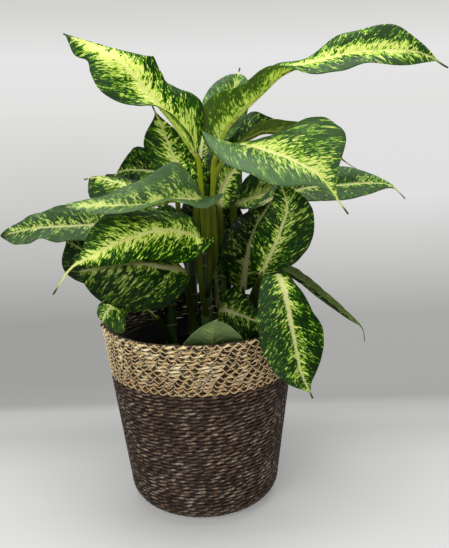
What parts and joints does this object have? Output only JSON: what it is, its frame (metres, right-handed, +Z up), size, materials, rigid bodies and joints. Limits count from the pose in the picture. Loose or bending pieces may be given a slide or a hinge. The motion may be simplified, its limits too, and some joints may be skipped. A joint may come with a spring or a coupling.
{
  "type": "potted dieffenbachia",
  "caption": "Leafy house plant with pointed, yellow-green flecked leaves on upright canes, in a black nursery pot standing inside a coiled rope basket with a straw-coloured top band.",
  "frame": {"origin": "middle of the underside of the basket, on the surface that it stands on", "axes": "+Z up, +X to the right and -Y towards the viewer as the picture shows the plant"},
  "size_m": [0.4288, 0.3003, 0.4745],
  "materials": {
    "straw_rope": "coiled natural grass rope with cream stitching",
    "dark_rope": "coiled grass rope stained dark brown",
    "black_plastic": "matte black",
    "soil": "dark crumbly potting mix",
    "green_cane": "smooth green stem with ringed scars",
    "leaf": "satin leaf, dark green with yellow-green flecks and a cream midrib"
  },
  "bodies": {
    "root": {"basket_dark_rope": "dark_rope", "basket_straw_band": "straw_rope", "nursery_pot": "black_plastic", "soil": "soil", "cane_middle": "green_cane", "cane_right": "green_cane", "cane_left": "green_cane", "cane_back_right": "green_cane", "cane_back_left": "green_cane", "leaf_top_left": "leaf", "leaf_top_right": "leaf", "leaf_top_back": "leaf", "leaf_right_broad": "leaf", "leaf_left_upright": "leaf", "leaf_left_back": "leaf", "leaf_left_short": "leaf", "leaf_left_level": "leaf", "leaf_left_far": "leaf", "leaf_left_broad": "leaf", "leaf_left_drooping": "leaf", "leaf_left_curled": "leaf", "leaf_rim_left": "leaf", "leaf_rim_front": "leaf", "leaf_rim_middle": "leaf", "leaf_rim_right": "leaf", "leaf_right_narrow": "leaf", "leaf_right_back": "leaf", "leaf_right_far": "leaf", "leaf_right_oval": "leaf", "leaf_right_inner": "leaf", "leaf_right_hidden": "leaf", "leaf_middle_small": "leaf", "leaf_back_top": "leaf", "leaf_back_left": "leaf", "leaf_back_right": "leaf", "leaf_back_middle": "leaf", "leaf_back_low_left": "leaf", "leaf_back_low_right": "leaf", "leaf_back_rim": "leaf", "leaf_back_stems": "leaf"}
  },
  "joints": []
}
